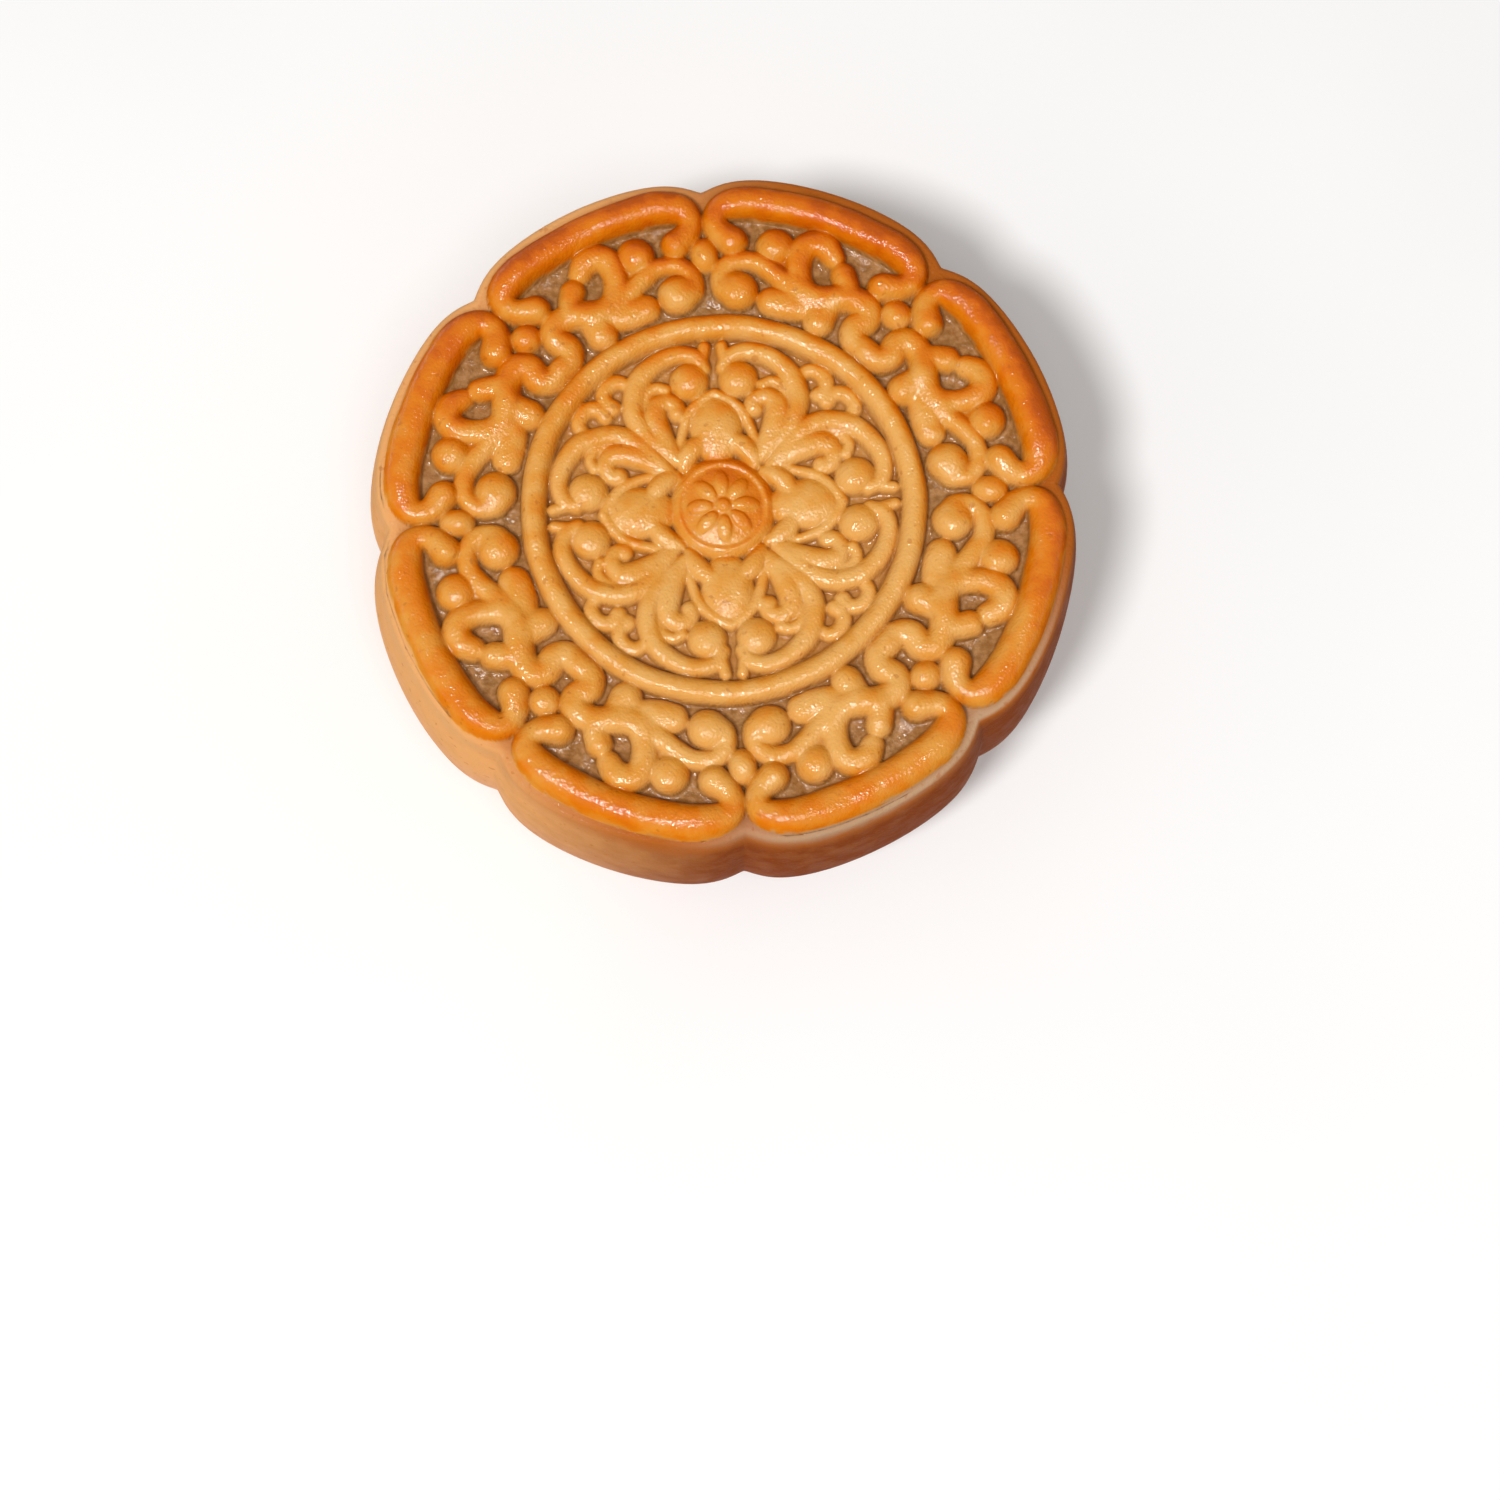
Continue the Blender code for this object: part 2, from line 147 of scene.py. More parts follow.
# The medallion inside the ring.
MEDALLION_EYE = (2.4, 13.15, 1.9)
PETAL_OUTER = [
    (1.0, 14.4, 0.8),
    (1.6, 15.5, 0.9),
    (3.0, 16.0, 0.95),
    (4.6, 15.7, 1.0),
    (6.1, 14.8, 1.05),
    (7.4, 13.4, 1.1),
    (8.0, 11.6, 1.1),
    (8.05, 10.0, 1.1),
    (7.4, 8.4, 1.1),
    (6.4, 7.2, 1.0),
    (5.2, 6.1, 0.9),
    (4.1, 5.0, 0.7),
]
PETAL_MIDDLE = [
    (4.8, 12.4, 0.7),
    (5.7, 12.7, 0.65),
    (6.6, 12.2, 0.65),
    (7.0, 11.2, 0.6),
    (7.0, 10.0, 0.5),
]
PETAL_INNER = [
    (3.8, 10.0, 0.95),
    (3.8, 10.7, 0.9),
    (4.7, 11.2, 1.0),
    (5.7, 10.8, 1.1),
    (6.05, 9.7, 1.25),
    (5.75, 8.4, 1.25),
    (5.2, 7.2, 1.1),
    (4.5, 6.0, 0.9),
    (3.8, 4.9, 0.65),
]
BUD = [(0.0, 6.6, 2.0), (0.0, 8.0, 2.5), (0.0, 8.9, 2.35), (0.0, 9.9, 1.6), (0.0, 10.9, 0.75)]
BUD_EDGE = [
    (0.1, 11.8, 0.6),
    (1.5, 10.9, 0.65),
    (2.6, 9.8, 0.65),
    (3.2, 8.4, 0.6),
    (3.6, 7.0, 0.55),
    (4.1, 5.6, 0.5),
]
SEPAL = [(1.5, 6.9, 0.95), (2.4, 6.2, 1.1), (3.1, 5.3, 1.0), (3.5, 4.4, 0.7)]
CURL = [
    (8.4, 13.1, 0.7),
    (9.4, 13.55, 0.8),
    (10.45, 13.1, 0.85),
    (10.9, 12.15, 0.85),
    (10.65, 11.3, 0.85),
    (10.1, 10.9, 0.9),
]
NUB = [(0.85, 16.7, 0.65), (1.0, 15.6, 0.6)]

# The round boss in the middle: a raised border round a plain flower.
BOSS_RADIUS = 5.3
BOSS_HEIGHT = 2.3
BOSS_BORDER_WIDTH = 1.05
BOSS_INSET = 0.38
BOSS_INSET_EDGE = (-0.35, 0.25)
PETALS = 8
PETAL_DISTANCE = 2.3
PETAL_ALONG = 1.3
PETAL_ACROSS = 0.72
PISTIL_RADIUS = 0.72

# The height map of the wedge. A higher union number leaves a sharper crease between two forms.
MAP_STEP = 0.05
MAP_MARGIN = 2.0
MAP_WIDTH = 27.0
MAP_HEIGHT = 36.0
POINT_SPACING = 0.12
SOFT_UNION = 4.0
LEDGE_UNION = 5.0
CREASED_UNION = 11.0
FULLNESS = 1.06
SIDE_POWER = 2.6
TOP_POWER = 0.5
TAPER_POWER = 0.7
SOFTEN_STEPS = 2

# The mesh: spokes round the cake, and rings from the middle of the top to the middle of the base.
SPOKES = 1280
TOP_RINGS = 240
SHOULDER_RINGS = 12
WALL_RINGS = 60
CORNER_RINGS = 24
BASE_RINGS = 90
FACE_LIMIT = 190000

# The ribs that the rack left under the cake. They fade between these two heights.
RIB_PITCH = 1.6
RIB_DEPTH = 0.35
RIB_FADE = (1.5, 5.0)

# Where the looks change: each pair holds the radii, heights or drops between which they do.
TOP_FROM_HEIGHT = (20.0, 23.0)
TOP_EDGE = (-0.4, 0.0)
BOSS_END = (5.2, 5.9)
BAND_START = (17.0, 19.5)
BAND_OUTWARD = (18.0, 28.0)
POCKET_START = (16.5, 20.5)
RIM_START = (29.0, 30.0)
RIM_SLOPE = (30.8, 33.0)
RIM_FOOT = (31.5, 32.5)
LEDGE_COLOUR_START = (30.2, 31.0)
RAISED_RELIEF = (0.2, 0.8)
RAISED_RIM_FOOT = (0.05, 0.4)
CREST_RISE = (0.1, 1.0)
# The next pair holds the drops over which painted shade comes into creases and hollows.
CREASE_SHADE_DROP = (0.0, 0.7)
BLUR_STEPS = (16, 7)

# Sides of the cake that are coloured differently: the direction, and the two distances between which
# the share of that side rises from 0 to 1.
FAR_SIDE = ((0.30, 0.95), (-12.0, 30.0))
BROWN_LEDGE = ((0.90, -0.25), (-22.0, 2.0))
BROWN_WALL = ((0.92, -0.36), (-16.0, 14.0))
TAN_FRONT = ((0.0, -1.0), (6.0, 22.0))
TAN_RIGHT = ((1.0, 0.0), (-10.0, 8.0))
TAN_EDGE = (-0.35, 0.05)

# Painted shade darkens the slopes that face this way, away from the key light, between these
# turns. The colour also darkens evenly across the top along TILT.
SHADED_SLOPE_FACING = (0.5, 0.86, 0.0)
SHADED_SLOPE_TURN = (-0.35, 0.55)
TILT = (-0.35, 1.0)
TILT_REACH = 30.0

# How dark each place is coloured, from 0 for pale dough to 1 for dark crust: its baking, a darkening
# towards the far side, and painted shade on slopes that face away from the key light.
BAKE_OF_RELIEF = 0.04
BAKE_OF_BAND = 0.03
BAKE_OF_OUTER_BAND = 0.16
BAKE_OF_CREST = 0.16
BAKE_OF_OUTER_CREST = 0.14
BAKE_OF_BOSS = 0.25
BAKE_OF_RIM = 0.425
FAR_RIM_DARKENING = 0.21
SHADE_OF_RIM_SLOPE = 0.26
BROWN_SHARE_OF_RIM_SLOPE = 0.6
SHADE_OF_SLOPE = 0.34
SHADE_OF_FAR_SLOPE = 0.20
SLOPE_SHADE_SHARE_ON_RIM = 0.4
TILT_DARKENING = 0.22
TILT_SHARE_ON_RIM = 0.2
POCKET_SHARE_IN_MEDALLION = 0.35

# The glaze lies on level places, less of it on the slopes with painted shade that face away from the
# key light, at the far side and on the ledge.
GLAZE_LEVEL = (0.5, 0.85)
GLAZE_SLOPE = (0.05, 0.5)
GLAZE_LOST_ON_SLOPE = 0.7
GLAZE_LOST_FAR_OFF = 0.25
GLAZE_LOST_ON_LEDGE = 0.85

# The studio, in metres, and the camera at the photograph's viewing angle, in millimetres and degrees.
FLOOR_REACH = 3.0
FLOOR_GAP = 0.0002
LIGHT_AIM = (0.0, 0.0, 0.02)
KEY_LIGHT = {"place": (-0.42, -0.48, 1.25), "size": 0.26, "power": 12.5}
FRONT_LIGHT = {"place": (0.10, -0.50, 1.30), "size": 0.55, "power": 5.0}
WORLD_COLOUR = (1.0, 0.965, 0.925, 1)
WORLD_STRENGTH = 0.35
CAMERA_PLACE = (-2.37, -91.46, 314.35)
CAMERA_TURN = (12.977, 0.194, -3.95)
CAMERA_SENSOR = 36.0
CAMERA_LENS = 73.67
CAMERA_CLIP_START = 0.01


def hills(x, y, kind):
    """Smooth random hills and hollows over the places x, y."""
    height, cell, seed = kind
    lattice = np.random.default_rng(seed).uniform(-1, 1, (LATTICE, LATTICE))
    u, v = x / cell, y / cell
    i, j = np.floor(u).astype(int), np.floor(v).astype(int)
    a, b = u - i, v - j
    a, b = a * a * (3 - 2 * a), b * b * (3 - 2 * b)
    i0, i1, j0, j1 = i % LATTICE, (i + 1) % LATTICE, j % LATTICE, (j + 1) % LATTICE
    low = lattice[i0, j0] * (1 - a) + lattice[i1, j0] * a
    high = lattice[i0, j1] * (1 - a) + lattice[i1, j1] * a
    return height * (low * (1 - b) + high * b)


def smooth_step(low, high, value):
    """0 up to the low value and 1 from the high value on, with a smooth rise between."""
    share = np.clip((value - low) / (high - low), 0, 1)
    return share * share * (3 - 2 * share)


def blend(first, second, share):
    return first + (second - first) * share


def share_towards(side, x, y):
    """How much x, y belongs to a side of the cake, from 0 to 1."""
    (right, ahead), span = side
    return smooth_step(*span, right * x + ahead * y)


def smooth_path(points, spacing):
    """Close points along a smooth curve through the given ones."""
    knots = [np.array(p, float) for p in points]
    knots = [2 * knots[0] - knots[1]] + knots + [2 * knots[-1] - knots[-2]]
    path = []
    for before, start, end, after in zip(knots, knots[1:], knots[2:], knots[3:]):
        pieces = max(1, round(float(np.linalg.norm((end - start)[:2])) / spacing))
        t = (np.arange(pieces) / pieces)[:, None]
        path.append(
            0.5
            * (
                2 * start
                + (end - before) * t
                + (2 * before - 5 * start + 4 * end - after) * t**2
                + (3 * start - before - 3 * end + after) * t**3
            )
        )
    return np.vstack(path + [knots[-2][None]])


class HeightMap:
    """The moulded relief above the floor, over one wedge and a margin round it."""

    def __init__(self):
        across = np.arange(-MAP_MARGIN, MAP_WIDTH, MAP_STEP)
        along = np.arange(-MAP_MARGIN, MAP_HEIGHT, MAP_STEP)
        self.x, self.y = np.meshgrid(across, along, indexing="ij")
        self.branch = np.ones_like(self.x)
        self.total = np.ones_like(self.x)

    def window(self, centre, reach):
        corners = []
        for value, size in zip(centre, self.x.shape):
            low = int((value - reach + MAP_MARGIN) / MAP_STEP)
            high = int((value + reach + MAP_MARGIN) / MAP_STEP) + 2
            corners.append(slice(max(0, min(size, low)), max(0, min(size, high))))
        return tuple(corners)

    def add(self, own):
        """Joins a form to the rest with a crease between them."""
        self.total += np.exp(CREASED_UNION * own) - 1

    def add_to_branch(self, own):
        """Joins a form to the scroll's branches, which run into each other without a crease."""
        self.branch += np.exp(SOFT_UNION * own) - 1

    def stroke(self, points, height, join=None):
        """Adds a stroke, and its mirror images over both sides of the wedge."""
        join = join or self.add
        widest = max(radius for _, _, radius in points)
        for mirrored in (points, [(-x, y, r) for x, y, r in points], [(y, x, r) for x, y, r in points]):
            own = np.zeros_like(self.x)
            for x, y, radius in smooth_path(mirrored, POINT_SPACING):
                w = self.window((x, y), FULLNESS * radius)
                share = np.hypot(self.x[w] - x, self.y[w] - y) / (FULLNESS * radius)
                crown = height * (radius / widest) ** TAPER_POWER
                own[w] = np.maximum(own[w], crown * rounded(share))
            join(own)

    def ball(self, centre, height, join=None):
        """Adds an oval ball: x, y, its radius across the spoke and its radius along it."""
        join = join or self.add
        x0, y0, across, along = centre
        for x, y in {(x0, y0), (-x0, y0), (y0, x0)}:
            spoke = np.array([x, y]) / math.hypot(x, y)
            dx, dy = self.x - x, self.y - y
            out = (dx * spoke[0] + dy * spoke[1]) / along
            side = (dx * spoke[1] - dy * spoke[0]) / across
            join(height * rounded(np.hypot(out, side) / FULLNESS))

    def result(self):
        self.add(np.log(self.branch) / SOFT_UNION)
        heights = np.log(self.total) / CREASED_UNION
        for _ in range(SOFTEN_STEPS):
            heights = softened(heights)
        return heights


def rounded(share):
    """A plump cross-section: 1 in the middle, and 0 from share 1 outwards."""
    return np.clip(1 - np.minimum(share, 1) ** SIDE_POWER, 0, 1) ** TOP_POWER


def softened(heights):
    """The map blurred by one step each way."""
    for axis in (0, 1):
        ahead, behind = np.roll(heights, 1, axis), np.roll(heights, -1, axis)
        heights = heights / 2 + (ahead + behind) / 4
    return heights


def box_blurred(heights, reach):
    """The map averaged over a square of the given half width in steps."""
    for axis in (0, 1):
        padding = [(reach + 1, reach) if a == axis else (0, 0) for a in (0, 1)]
        total = np.cumsum(np.pad(heights, padding, mode="edge"), axis)
        size = heights.shape[axis]
        upper = np.take(total, range(2 * reach + 1, 2 * reach + 1 + size), axis)
        lower = np.take(total, range(size), axis)
        heights = (upper - lower) / (2 * reach + 1)
    return heights


def rim_bar():
    """The rim bar of the lobe beside the +Y axis, hooked at both ends."""
    angles = np.linspace(BAR_END_ANGLE, LOBE_ANGLE - BAR_END_ANGLE, BAR_STEPS + 1)
    middle = [(BAR_RADIUS * math.sin(a), BAR_RADIUS * math.cos(a), BAR_TUBE_RADIUS) for a in angles]
    sine, cosine = math.sin(LOBE_ANGLE), math.cos(LOBE_ANGLE)
    far_hook = [(y * sine - x * cosine, y * cosine + x * sine, r) for x, y, r in reversed(BAR_HOOK)]
    return BAR_HOOK + middle + far_hook


def boss(radius, angle):
    """Height of the middle boss, its border and its flower."""
    dome = BOSS_HEIGHT * rounded(radius / BOSS_RADIUS)
    inner = BOSS_RADIUS - BOSS_BORDER_WIDTH
    inset = BOSS_INSET * (1 - smooth_step(*BOSS_INSET_EDGE, radius - inner))
    petal_angle = 2 * math.pi / PETALS
    from_petal = (angle + petal_angle / 2) % petal_angle - petal_angle / 2
    out = (radius * np.cos(from_petal) - PETAL_DISTANCE) / PETAL_ALONG
    side = radius * np.sin(from_petal) / PETAL_ACROSS
    petal = rounded(np.hypot(out, side))
    pistil = rounded(radius / PISTIL_RADIUS)
    return dome - inset * (1 - np.maximum(petal, pistil))


def make_height_map():
    relief = HeightMap()
    relief.stroke(rim_bar(), RIM_HEIGHT)
    for branch in (VOLUTE, LOOP, BULB, WAVE, RING_LEAF):
        relief.stroke(branch, SCROLL_HEIGHT, relief.add_to_branch)
    relief.stroke(STEM_LEAF, LEAF_HEIGHT, relief.add_to_branch)
    relief.stroke(BALL_NECK, THIN_HEIGHT)
    relief.stroke(BUD_EDGE, FAINT_HEIGHT)
    for full in (PETAL_OUTER, PETAL_INNER, SEPAL, BUD):
        relief.stroke(full, MEDALLION_HEIGHT)
    for thin in (PETAL_MIDDLE, CURL, NUB):
        relief.stroke(thin, THIN_HEIGHT)
    relief.ball((*VOLUTE_EYE, VOLUTE_EYE[2]), BALL_HEIGHT, relief.add_to_branch)
    relief.ball((*BAND_BALL, BAND_BALL[2]), BALL_HEIGHT)
    relief.ball((*MEDALLION_EYE, MEDALLION_EYE[2]), MEDALLION_BALL_HEIGHT)
    relief.ball(AXIS_BEAD, SCROLL_HEIGHT)
    relief.ball(DIAGONAL_BEAD, SCROLL_HEIGHT)
    radius = np.hypot(relief.x, relief.y)
    relief.add(SCROLL_HEIGHT * rounded(abs(radius - RING_RADIUS) / RING_HALF_WIDTH))
    relief.add(boss(radius, np.arctan2(relief.x, relief.y)))
    return relief.result()


def folded(x, y):
    """The place in the wedge that stands for x, y."""
    radius = np.hypot(x, y)
    angle = np.arctan2(x, y) % (math.pi / 2)
    angle = np.minimum(angle, math.pi / 2 - angle)
    return radius * np.sin(angle), radius * np.cos(angle)


def read_map(heights, x, y):
    """The map read between its points, at places folded into the wedge."""
    u, v = folded(x, y)
    u = np.clip((u + MAP_MARGIN) / MAP_STEP, 0, heights.shape[0] - 2)
    v = np.clip((v + MAP_MARGIN) / MAP_STEP, 0, heights.shape[1] - 2)
    i, j = u.astype(int), v.astype(int)
    a, b = u - i, v - j
    low = heights[i, j] * (1 - a) + heights[i + 1, j] * a
    high = heights[i, j + 1] * (1 - a) + heights[i + 1, j + 1] * a
    return low * (1 - b) + high * b


def warped(x, y):
    """Small sideways slips, which keep the eight repeats from being twins."""
    across = sum(hills(x, y, kind) for kind in SLIPS_ACROSS)
    along = sum(hills(x, y, kind) for kind in SLIPS_ALONG)
    return x + across, y + along


def floor_height(x, y):
    """Height of the sunken floor under the relief."""
    share = np.minimum(1.0, (x * x + y * y) / SAG_RADIUS**2)
    return FLOOR_HEIGHT - SAG_DEPTH * (1 - share) ** 2


def top_surface(heights, x, y):
    """Height of the top: the floor, the ledge outside the rim, and the relief."""
    wx, wy = warped(x, y)
    ledge = LEDGE_RISE * smooth_step(*LEDGE_START, np.hypot(x, y))
    relief = read_map(heights, wx, wy) * (1 + sum(hills(x, y, kind) for kind in SWELLS))
    joined = np.log(np.exp(LEDGE_UNION * relief) + np.exp(LEDGE_UNION * ledge) - 1) / LEDGE_UNION
    return floor_height(x, y) + joined + hills(x, y, TOP_HILLS)


def pinch(angle):
    """How far the wall is pulled in at this angle, as a share of the full depth."""
    from_gap = abs((angle + LOBE_ANGLE / 2) % LOBE_ANGLE - LOBE_ANGLE / 2)
    return np.exp(-((from_gap / PINCH_HALF_ANGLE) ** PINCH_SHARPNESS))


def wall_profile():
    """Radius and height of each ring from the ledge down to the middle of the base."""
    ledge = FLOOR_HEIGHT + LEDGE_RISE
    bend = np.linspace(0, SHOULDER_BEND, SHOULDER_RINGS + 1)[1:]
    radius = TOP_RADIUS - SHOULDER_RADIUS * (1 - np.sin(bend))
    height = ledge - SHOULDER_RADIUS * (1 - np.cos(bend))
    drop = np.linspace(0, 1, WALL_RINGS + 1)[1:]
    wall_height = height[-1] + (BASE_ROUNDING - height[-1]) * drop
    above = np.clip((wall_height - WIDEST_HEIGHT) / (height[-1] - WIDEST_HEIGHT), 0, 1)
    below = np.clip((WIDEST_HEIGHT - wall_height) / (WIDEST_HEIGHT - BASE_ROUNDING), 0, 1)
    corner_start = BASE_RADIUS + BASE_ROUNDING
    wall_radius = WALL_RADIUS - (WALL_RADIUS - radius[-1]) * above**WALL_CURVE
    wall_radius -= (WALL_RADIUS - corner_start) * below**2
    turn = np.linspace(0, math.pi / 2, CORNER_RINGS + 1)[1:]
    corner_radius = BASE_RADIUS + BASE_ROUNDING * np.cos(turn)
    corner_height = BASE_ROUNDING * (1 - np.sin(turn))
    base_radius = BASE_RADIUS * (1 - np.linspace(0, 1, BASE_RINGS + 1)[1:])
    radii = np.concatenate([radius, wall_radius, corner_radius, base_radius])
    highs = np.concatenate([height, wall_height, corner_height, np.zeros(BASE_RINGS)])
    return radii, highs


def top_outline(angle):
    """Radius at which the top ends and the shoulder starts."""
    x, y = TOP_RADIUS * np.cos(angle), TOP_RADIUS * np.sin(angle)
    return TOP_RADIUS - SHOULDER_RADIUS - PINCH_DEPTH * pinch(angle) + hills(x, y, OUTLINE_HILLS)


def make_top(heights, angle):
    """The points of the top, one row for each ring from the middle outwards."""
    radius = np.linspace(0, 1, TOP_RINGS + 1)[:, None] * top_outline(angle)
    x, y = radius * np.cos(angle), radius * np.sin(angle)
    return np.stack([x, y, top_surface(heights, x, y)], -1)


def make_side(angle, edge_rise):
    """The points below the top, one row for each ring down to the middle of the base."""
    radii, highs = wall_profile()
    radii, highs = radii[:, None], highs[:, None]
    grip = smooth_step(0, BASE_ROUNDING, highs)
    pulled_in = TOP_RADIUS - SHOULDER_RADIUS - top_outline(angle)
    radius = radii - pulled_in * blend(PINCH_SHARE_AT_FOOT, 1, grip) * np.minimum(1, radii / BASE_RADIUS)
    way_round = angle * WALL_HILLS_RADIUS + WALL_HILLS_START
    radius = radius + hills(way_round, highs, WALL_HILLS) * grip
    x, y = radius * np.cos(angle), radius * np.sin(angle)
    ribs = RIB_DEPTH * (0.5 - 0.5 * np.cos(2 * math.pi * x / RIB_PITCH)) ** 2
    ribs = ribs * (1 - smooth_step(*RIB_FADE, highs))
    level = edge_rise * smooth_step(*UNEVEN_EDGE, highs)
    return np.stack([x, y, highs + level + ribs], -1)


def make_points(heights):
    """All points of the skin, one row for each ring."""
    angle = np.arange(SPOKES) * 2 * math.pi / SPOKES
    top = make_top(heights, angle)
    edge_rise = top[-1, :, 2] - FLOOR_HEIGHT - LEDGE_RISE
    points = np.concatenate([top, make_side(angle, edge_rise)])
    for axis in (0, 1):
        points[..., axis] += LEAN[axis] * (points[..., 2] - WIDEST_HEIGHT)
    return points


def make_faces(rings):
    """Triangles between neighbouring rings, with one point at each end."""
    spokes = np.arange(SPOKES)
    following = (spokes + 1) % SPOKES
    faces = []
    for ring in range(1, rings - 2):
        a = 1 + (ring - 1) * SPOKES
        b = a + SPOKES
        faces.append(np.stack([a + spokes, b + spokes, b + following], -1))
        faces.append(np.stack([a + spokes, b + following, a + following], -1))
    last = 1 + (rings - 2) * SPOKES
    final_ring = last - SPOKES
    faces.append(np.stack([np.zeros_like(spokes), 1 + spokes, 1 + following], -1))
    faces.append(np.stack([final_ring + spokes, np.full_like(spokes, last), final_ring + following], -1))
    return np.concatenate(faces)


def make_mesh(points):
    """A closed mesh from the rings. The first and the last ring are single points."""
    rings = len(points)
    flat = np.concatenate([points[0, :1], points[1:-1].reshape(-1, 3), points[-1, :1]]) * MM
    faces = make_faces(rings)
    mesh = bpy.data.meshes.new("crust")
    mesh.vertices.add(len(flat))
    mesh.vertices.foreach_set("co", flat.ravel())
    mesh.loops.add(faces.size)
    mesh.loops.foreach_set("vertex_index", faces.ravel().astype(np.int32))
    mesh.polygons.add(len(faces))
    mesh.polygons.foreach_set("loop_start", np.arange(0, faces.size, 3, dtype=np.int32))
    mesh.update(calc_edges=True)
    mesh.validate()
    return mesh


def lightened(obj):
    """The object's mesh with fewer faces where the skin is smooth."""
    decimate = obj.modifiers.new("lighter", "DECIMATE")
    decimate.ratio = FACE_LIMIT / len(obj.data.polygons)
    graph = bpy.context.evaluated_depsgraph_get()
    mesh = bpy.data.meshes.new_from_object(obj.evaluated_get(graph))
    obj.modifiers.clear()
    obj.data = mesh


def vectors_of(items, field):
    """One row of three numbers for each item."""
    values = np.empty(len(items) * 3, np.float32)
    items.foreach_get(field, values)
    return values.reshape(-1, 3).astype(float)


def bake_and_slope_shade(x, y, rise, away, far, browned):
    """How dark the raised dough is coloured, from 0 to 1: its baking, a darkening towards the far side,
    and painted shade on slopes that face away from the key light.
    """
    radius = np.hypot(x, y)
    rim = smooth_step(*RIM_START, radius)
    band = smooth_step(*BAND_START, radius) * (1 - rim)
    outward = smooth_step(*BAND_OUTWARD, radius)
    crest = smooth_step(*CREST_RISE, rise)
    inside = BAKE_OF_RELIEF + band * (BAKE_OF_BAND + BAKE_OF_OUTER_BAND * outward)
    inside = inside + crest * (BAKE_OF_CREST + BAKE_OF_OUTER_CREST * outward)
    # Painted shade on the rim's outer slope on the far and the right-hand sides.
    rim_slope_shade = smooth_step(*RIM_SLOPE, radius) * np.maximum(BROWN_SHARE_OF_RIM_SLOPE * browned, far)
    on_rim = BAKE_OF_RIM + FAR_RIM_DARKENING * far + SHADE_OF_RIM_SLOPE * rim_slope_shade
    boss_bake = BAKE_OF_BOSS * (1 - smooth_step(*BOSS_END, radius))
    tilt = TILT_DARKENING * (TILT[0] * x + TILT[1] * y) / TILT_REACH
    # Painted shade on slopes that face away from the key light.
    slope_shade = (SHADE_OF_SLOPE + SHADE_OF_FAR_SLOPE * far) * smooth_step(*SHADED_SLOPE_TURN, away)
    bake_and_shade = blend(inside, on_rim, rim) + boss_bake
    bake_and_shade = bake_and_shade + tilt * blend(1, TILT_SHARE_ON_RIM, rim)
    return np.clip(bake_and_shade + slope_shade * blend(1, SLOPE_SHADE_SHARE_ON_RIM, rim), 0, 1)


def add_looks(mesh, heights):
    """What the crust's material needs to know at each point, as attributes of the mesh."""
    points = vectors_of(mesh.vertices, "co") / MM
    normals = vectors_of(mesh.vertex_normals, "vector")
    z = points[:, 2]
    x = points[:, 0] - LEAN[0] * (z - WIDEST_HEIGHT)
    y = points[:, 1] - LEAN[1] * (z - WIDEST_HEIGHT)
    radius = np.hypot(x, y)
    outline = TOP_RADIUS - PINCH_DEPTH * pinch(np.arctan2(y, x))
    on_top = smooth_step(*TOP_EDGE, outline - radius) * smooth_step(*TOP_FROM_HEIGHT, z)

    far = share_towards(FAR_SIDE, x, y)
    browned = share_towards(BROWN_LEDGE, x, y)
    tan = share_towards(TAN_FRONT, x, y) * share_towards(TAN_RIGHT, x, y)
    tan = tan * (1 - smooth_step(*TAN_EDGE, radius - outline))
    # How far each point faces away from the key light: for the painted shade on slopes, and for the
    # glaze.
    away = normals @ SHADED_SLOPE_FACING

    wx, wy = warped(x, y)
    relief = read_map(heights, wx, wy)
    around = sum(read_map(box_blurred(heights, steps), wx, wy) for steps in BLUR_STEPS) / len(BLUR_STEPS)
    outside = smooth_step(*LEDGE_COLOUR_START, radius)
    low, high = (blend(inner, foot, outside) for inner, foot in zip(RAISED_RELIEF, RAISED_RIM_FOOT))
    raised = smooth_step(low, high, relief)
    ledge = outside * (1 - raised)
    pocket = (1 - raised) * (1 - ledge)
    pocket = pocket * blend(POCKET_SHARE_IN_MEDALLION, 1, smooth_step(*POCKET_START, radius))
    # Painted shade in creases and hollows, left out at the foot of the rim on the near side.
    foot_without_crease_shade = smooth_step(*RIM_FOOT, radius) * (1 - far) * (1 - tan)
    crease_shade = smooth_step(*CREASE_SHADE_DROP, around - relief) * (1 - foot_without_crease_shade)

    glaze = smooth_step(*GLAZE_LEVEL, normals[:, 2])
    glaze = glaze * (1 - GLAZE_LOST_ON_SLOPE * smooth_step(*GLAZE_SLOPE, away))
    glaze = glaze * (1 - GLAZE_LOST_FAR_OFF * far) * (1 - GLAZE_LOST_ON_LEDGE * ledge)

    looks = {
        "bake_and_shade": bake_and_slope_shade(x, y, relief - around, away, far, browned) * raised,
        "pocket": pocket,
        "crease_shade": crease_shade,
        "ledge": ledge,
        "top": on_top,
        "gloss": on_top * glaze,
        "level": z,
        "brown_side": share_towards(BROWN_WALL, x, y),
        "brown_ledge": browned,
        "tan_ledge": tan,
    }
    for name, values in looks.items():
        attribute = mesh.attributes.new(name, "FLOAT", "POINT")
        attribute.data.foreach_set("value", values.astype(np.float32))


